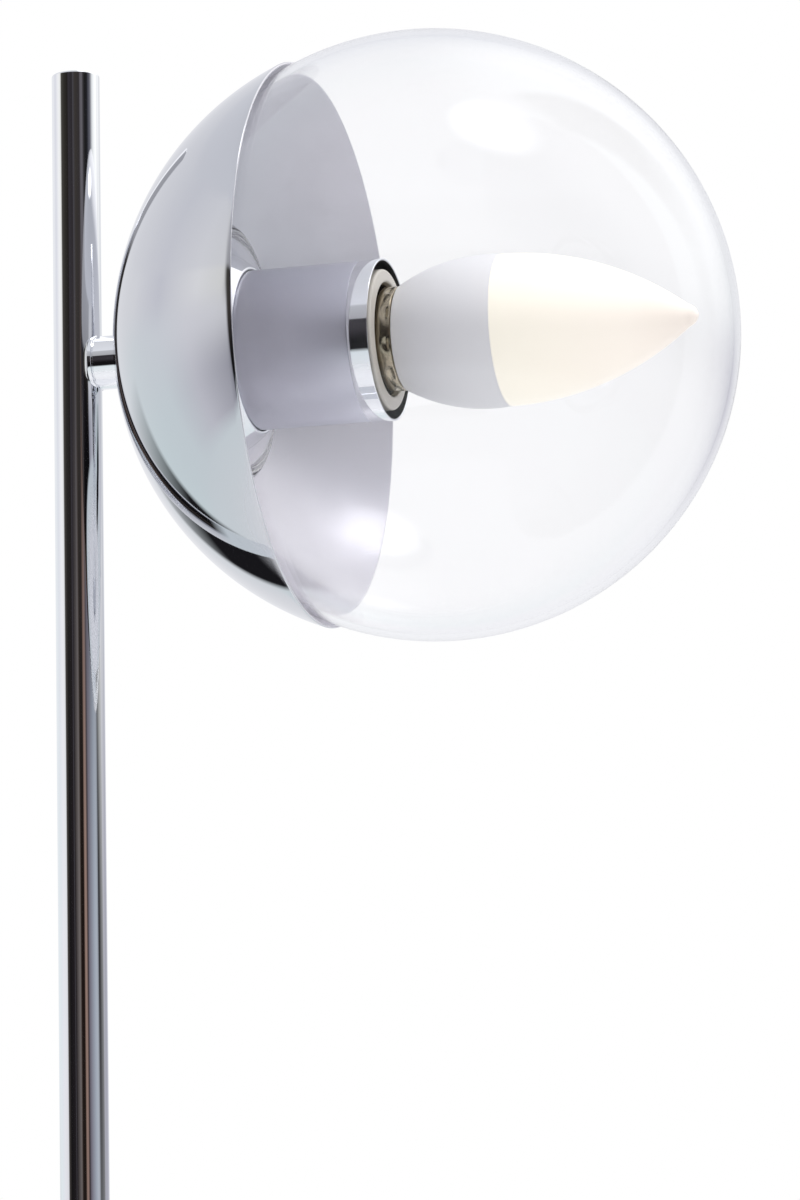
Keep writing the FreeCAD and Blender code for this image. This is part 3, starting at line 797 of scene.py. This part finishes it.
class LAMP_OT_pole(bpy.types.Operator):
    """Pole and its flush top plug"""

    bl_idname = "lamp.pole"
    bl_label = "Pole"

    def execute(self, context):
        outer = context.scene.lamp_sizes.pole_radius / MM
        low, high, wall = POLE_LOW.z / MM, POLE_HIGH.z / MM, 1
        inner = outer - wall
        pole = turned("pole_drawn_tube", soften([
            (low, inner), (low, outer), (high, outer, 0.45), (high, inner, 0.12)]), head=False)
        carve(pole, bar("lead_hole", 3.3 * MM, Vector((0, 0, HEAD_Z)), Vector((0.012, 0, HEAD_Z))))
        finish_piece(settle(pole), "lamp", "chrome", made(chrome_plate), "pole_tube")
        fit, skirt, under, end = inner - 0.05, inner - 1.2, high - 1.5, high - 8
        plug = turned("pole_plug", soften([
            (under, TINY), (under, skirt), (end, skirt), (end, fit), (high, fit, 0.2), (high, TINY)],
            closed=False), head=False, closed=False)
        finish_piece(plug, "lamp", "chrome", made(chrome_plate), "pole_top_plug")
        return {"FINISHED"}


class LAMP_OT_arm(bpy.types.Operator):
    """Stub between pole and dome"""

    bl_idname = "lamp.arm"
    bl_label = "Arm"

    def execute(self, context):
        sizes = context.scene.lamp_sizes
        radius = sizes.arm_radius / MM
        reach = HEAD.x / MM
        back, front, web = 4.4 - reach, DOME_LOW.x / MM - reach, 6.8 - reach
        collar_r, groove_r, lead_r = radius + 0.35, radius - 0.25, 3.3
        arm = turned("head_stub", soften([
            (back, lead_r), (back, collar_r, 0.5), (back + 1.3, collar_r, 0.5),
            (back + 1.3, groove_r, 0.1), (back + 1.6, groove_r, 0.1), (back + 1.6, radius, 0.15),
            (front, radius, 0.35), (front, NIPPLE_HOLE), (web, NIPPLE_HOLE), (web, lead_r)]))
        low, high = Vector((0, 0, HEAD_Z - 0.02)), Vector((0, 0, HEAD_Z + 0.02))
        carve(arm, bar("pole_saddle", sizes.pole_radius, low, high, sizes.segments))
        finish_piece(settle(arm), "lamp", "chrome", made(chrome_plate), "head_arm")
        return {"FINISHED"}


class LAMP_OT_dome(bpy.types.Operator):
    """Spun dome behind the globe"""

    bl_idname = "lamp.dome"
    bl_label = "Dome"

    def execute(self, context):
        sizes = context.scene.lamp_sizes
        outer, sheet = sizes.dome_radius / MM, sizes.dome_sheet / MM
        inner = outer - sheet
        centre, rim, seat_r, hole = -4.34, -30.5, 8.2, NIPPLE_HOLE
        seat = sphere_place(seat_r, centre, outer)
        inside = seat + sheet
        lip_out, lip_in = on_sphere(rim, centre, outer), on_sphere(rim, centre, inner)
        middle = -62.0
        outline = [(seat, hole), (seat, seat_r)]
        outline += through((seat, seat_r), (middle, on_sphere(middle, centre, outer)), (rim, lip_out), 56)
        outline += through((rim, lip_out), (rim + sheet / 2, (lip_out + lip_in) / 2), (rim, lip_in), 6)
        seat_in = on_sphere(inside, centre, inner)
        outline += through((rim, lip_in), (middle, on_sphere(middle, centre, inner)), (inside, seat_in), 56)
        outline += [(inside, hole)]
        dome = turned("spun_dome", outline, segments=192, sharp=40)
        finish_piece(dome, "lamp", "chrome", [made(spun_chrome), made(satin_dome)], "dome_shell")
        middle_of = Vector((HEAD.x + centre * MM, 0, HEAD_Z))
        for face in dome.data.polygons:
            inward = face.normal.dot(face.center - middle_of) < 0
            face.material_index = int(inward)
        return {"FINISHED"}


class LAMP_OT_holder(bpy.types.Operator):
    """Holder cup, satin cover and polished ring"""

    bl_idname = "lamp.holder"
    bl_label = "Lampholder cover"

    def execute(self, context):
        sizes = context.scene.lamp_sizes
        cover_r, ring_r = sizes.cover_radius / MM, sizes.ring_radius / MM
        cup_r, sheet, hole = 27.5, 0.8, NIPPLE_HOLE
        seat = from_head(DOME_LOW.x)
        back = seat + 1.5
        cup = turned("drawn_holder_cup", soften([
            (back, hole), (back, 10.0, 1.0), (-70.9, cup_r, 1.6), (-52.0, cup_r, 1.8), (-50.2, 24.8, 0.8),
            (-45.3, cover_r + 0.9, 0.35), (-45.3, cover_r + 0.05, 0.2), (-50.7, 24.1, 0.4),
            (-52.4, cup_r - sheet, 1.2), (-70.4, cup_r - sheet, 1.0), (back + sheet, 10.4, 0.6),
            (back + sheet, hole)]))
        finish_piece(cup, "lamp", "chrome", made(chrome_plate), "holder_cup")
        rear, mouth = from_head(COVER_LOW.x), from_head(COVER_HIGH.x)
        inner = cover_r - sheet
        cover = turned("satin_cover_tube", soften([
            (rear, hole), (rear, cover_r, 3.0), (mouth, cover_r, 0.2), (mouth, inner, 0.2),
            (rear + sheet, inner, 2.2), (rear + sheet, hole)]))
        finish_piece(cover, "lamp", "satin_nickel", made(satin_nickel), "lampholder_cover")
        front, bore, spigot = from_head(RING_HIGH.x), 18.1, cover_r - sheet - 0.05
        lip = ring_r - 0.5
        ring = turned("polished_cover_ring", soften([
            (mouth - 4, bore, 0.2), (mouth - 4, spigot, 0.2), (mouth, spigot), (mouth, ring_r, 0.25),
            (front, ring_r, 0.2), (front, lip, 0.2), (front - 5, lip, 0.3), (front - 5, bore, 0.2)]))
        finish_piece(ring, "lamp", "chrome", [made(chrome_plate), made(ring_bore_painted_shade)], "cover_ring")
        # The ring's inward faces outside its bore take the near-black material: painted shade inside the
        # ring.
        for face in ring.data.polygons:
            across = Vector((0, face.center.y, face.center.z - HEAD_Z))
            inward = face.normal.dot(across) < -0.8 * across.length
            face.material_index = int(inward and across.length > (bore + 0.2) * MM)
        return {"FINISHED"}


class LAMP_OT_socket(bpy.types.Operator):
    """Ceramic lampholder body and its screw shell"""

    bl_idname = "lamp.socket"
    bl_label = "Lampholder"

    def execute(self, context):
        back, front, radius, well, floor = -42.0, -11.5, 17.3, 14.0, -38.0
        body = turned("ceramic_body", soften([
            (back, TINY), (back, radius, 1.0), (front, radius, 0.7), (front + 0.4, well, 0.5),
            (floor + 2, well, 0.6), (floor + 2, 9, 0.3), (floor, 9, 0.4), (floor, TINY)],
            closed=False), closed=False)
        outside = Vector((-0.043, 0, 0))
        for side in (-1, 1):
            hole = HEAD + Vector((0, side * 11 * MM, 0))
            blind_end = hole + Vector((-0.0388, 0, 0))
            carve(body, bar("screw_hole", 1.5 * MM, hole + outside, blind_end, 32))
            hole = HEAD + Vector((0, 0, side * 6.5 * MM))
            through_end = hole + Vector((-0.037, 0, 0))
            carve(body, bar("lead_hole", 1.2 * MM, hole + outside, through_end, 32))
        finish_piece(settle(body), "lamp", "cream_ceramic", made(glazed_ceramic), "lampholder_body")
        bore, metal, rear = 13.25, 0.35, -35.6
        outline = [(rear, bore - 2.0), (rear, bore + metal - 0.5), (rear + 0.5, bore + metal)]
        outline += self.run(rear + 0.5, -13.2, bore + metal)
        outline += [(-12.4, bore + 0.6), (-12.2, bore + 0.3), (-13.0, bore)]
        outline += self.run(-13.0, rear + 0.5, bore)
        outline += [(rear + metal, bore - 0.4), (rear + metal, bore - 2.0)]
        shell = turned("rolled_screw_shell", outline, sharp=50)
        thread(shell, rear + 1.0, -13.4, 0.25, context.scene.lamp_sizes.thread_pitch)
        finish_piece(shell, "lamp", "nickel_brass", made(shell_metal), "screw_shell")
        return {"FINISHED"}

    def run(self, start, end, radius, steps=56):
        """Evenly spaced points of a straight wall, close enough together to take a thread."""
        return [(start + (end - start) * step / steps, radius) for step in range(1, steps + 1)]


class LAMP_OT_globe(bpy.types.Operator):
    """Blown glass globe and its rubber seat"""

    bl_idname = "lamp.globe"
    bl_label = "Globe"

    def execute(self, context):
        sizes = context.scene.lamp_sizes
        outer, wall, bore = sizes.globe_radius / MM, sizes.glass_wall / MM, sizes.collar_radius / MM
        inner, collar, front = outer - wall, 3.5, -49.5
        bead, outside = collar / 2, bore + collar
        fold_r, inner_fold_r = 35.2, 35.6
        fold, inner_fold = sphere_place(fold_r, 0, outer), sphere_place(inner_fold_r, 0, inner)
        outline = [(outer, TINY)] + through((outer, 0), (0, outer), (fold, fold_r), 110)
        outline += through((fold, fold_r), (-69.4, 31.0), (-66.4, bore), 14)
        outline += through((front - bead, bore), (front, bore + bead), (front - bead, outside), 14)
        outline.insert(-14, (front - bead, bore))
        outline += [(-62.2, outside)]
        outline += through((-62.2, outside), (-64.4, 33.2), (inner_fold, inner_fold_r), 12)
        turn = 0.5 ** 0.5 - 0.4
        halfway = (inner * turn, inner * math.sqrt(1 - turn ** 2))
        outline += through((inner_fold, inner_fold_r), halfway, (inner, 0), 110)
        outline[-1] = (inner, TINY)
        globe = turned("blown_globe", outline, closed=False, segments=192, sharp=80)
        finish_piece(globe, "globe", "clear_glass", made(clear_glass), "glass_globe", "globe_collar")
        globe.visible_shadow = False
        gasket = turned("rubber_seat", soften([
            (-64, 27.55, 0.15), (-64, bore - 0.05, 0.15), (-58, bore - 0.05, 0.15), (-58, 27.55, 0.15)]))
        finish_piece(gasket, "gasket", "silicone", plain("silicone"), "globe_gasket")
        return {"FINISHED"}


class LAMP_OT_bulb(bpy.types.Operator):
    """Candle bulb: envelope, housing and cap"""

    bl_idname = "lamp.bulb"
    bl_label = "Bulb"

    def execute(self, context):
        radius = context.scene.lamp_sizes.bulb_radius / MM
        seam, neck, neck_r, tip = 18.2, -7.5, 12.9, from_head(BULB_HIGH.x)
        outline = [(seam, radius - 1.0), (seam, radius)]
        outline += through((seam, radius), (44.0, 13.6), (tip - 2.3, 2.7), 44)
        outline += through((tip - 2.3, 2.7), (tip - 0.6, 1.5), (tip, 0), 8)
        outline[-1] = (tip, TINY)
        outline += [(tip - 1.6, TINY)]
        outline += through((tip - 1.6, 0), (43.4, 12.6), (seam, radius - 1.0), 40)
        envelope = turned("opal_envelope", outline, sharp=50)
        finish_piece(envelope, "bulb", "opal_diffuser", made(opal_envelope), "bulb_diffuser")
        wall = 1.4
        outline = [(neck, neck_r)] + through((neck, neck_r), (0.6, 16.6), (seam, radius), 40)
        outline += [(seam, radius - wall)]
        outline += through(
            (seam, radius - wall), (0.9, 16.6 - wall), (neck + 0.6, neck_r - wall), 30)
        outline += [(neck - 4, neck_r - wall), (neck - 4, neck_r - 0.6), (neck, neck_r - 0.6)]
        housing = turned("bulb_body", outline, sharp=50)
        finish_piece(housing, "bulb", "white_plastic", made(bulb_plastic), "bulb_housing")
        cap_r, front, cone, end, metal = 12.75, neck - 0.3, -30.0, -33.2, 0.3
        places = [front - 0.4 + (cone - front + 0.4) * step / 80 for step in range(81)]
        outline = [(front, neck_r - 1.2), (front, neck_r - 0.5)] + [(place, cap_r) for place in places]
        outline += [(end, 7.5), (end, 6.8)] + [(place, cap_r - metal) for place in reversed(places)]
        cap = turned("rolled_bulb_cap", outline, sharp=50)
        thread(cap, cone + 0.2, front - 3.8, 0.7, context.scene.lamp_sizes.thread_pitch)
        stake(cap, front - 1.3, count=10, depth=0.45)
        finish_piece(cap, "bulb", "nickel_brass", made(shell_metal), "bulb_cap")
        return {"FINISHED"}


FITTINGS = {
    "cast_iron": ["base_weight"],
    "zinc_steel": ["foot_nipple", "foot_washer", "foot_nut", "dome_washer", "spacer_sleeve", "head_nipple",
                   "cover_lock_nut", "holder_bracket", "bracket_screws", "terminal_screws"],
    "spring_bronze": ["centre_contact"],
    "brass": ["terminal_blocks", "bulb_contact"],
    "black_plastic": ["bulb_insulator"],
    "circuit_board": ["led_board", "driver_board"],
    "brown_lead": ["lead_live"],
    "blue_lead": ["lead_neutral"],
}


class LAMP_OT_fittings(bpy.types.Operator):
    """Finishes of the fixings, leads and electrical parts inside"""

    bl_idname = "lamp.fittings"
    bl_label = "Fittings inside"

    def execute(self, context):
        for slot, nodes in FITTINGS.items():
            for node in nodes:
                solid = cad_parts[node]
                solid.data.materials.clear()
                solid.data.materials.append(plain(slot))
        return {"FINISHED"}


class LAMP_PT_panel(bpy.types.Panel):
    """Lists the steps that build the lamp"""

    bl_idname = "LAMP_PT_panel"
    bl_label = "Glass Globe Table Lamp"
    bl_space_type = "VIEW_3D"
    bl_region_type = "UI"
    bl_category = "Globe Lamp"

    def draw(self, context):
        for operator in OPERATORS:
            self.layout.operator(operator.bl_idname)
        for group in (context.scene.lamp_sizes, context.scene.lamp_colours, context.scene.lamp_view):
            box = self.layout.box()
            for name in group.__annotations__:
                box.prop(group, name)


OPERATORS = (
    LAMP_OT_stage, LAMP_OT_base, LAMP_OT_pole, LAMP_OT_arm, LAMP_OT_dome, LAMP_OT_holder, LAMP_OT_socket,
    LAMP_OT_globe, LAMP_OT_bulb, LAMP_OT_fittings)
GROUPS = {"lamp_sizes": LampSizes, "lamp_colours": LampColours, "lamp_view": LampView}


def register():
    for name, group in GROUPS.items():
        bpy.utils.register_class(group)
        setattr(bpy.types.Scene, name, PointerProperty(type=group))
    for operator in OPERATORS:
        bpy.utils.register_class(operator)
    bpy.utils.register_class(LAMP_PT_panel)


def unregister():
    bpy.utils.unregister_class(LAMP_PT_panel)
    for operator in reversed(OPERATORS):
        bpy.utils.unregister_class(operator)
    for name, group in GROUPS.items():
        delattr(bpy.types.Scene, name)
        bpy.utils.unregister_class(group)


def main():
    register()
    for operator in OPERATORS:
        getattr(bpy.ops.lamp, operator.bl_idname.split(".")[1])()


if __name__ == "__main__":
    main()
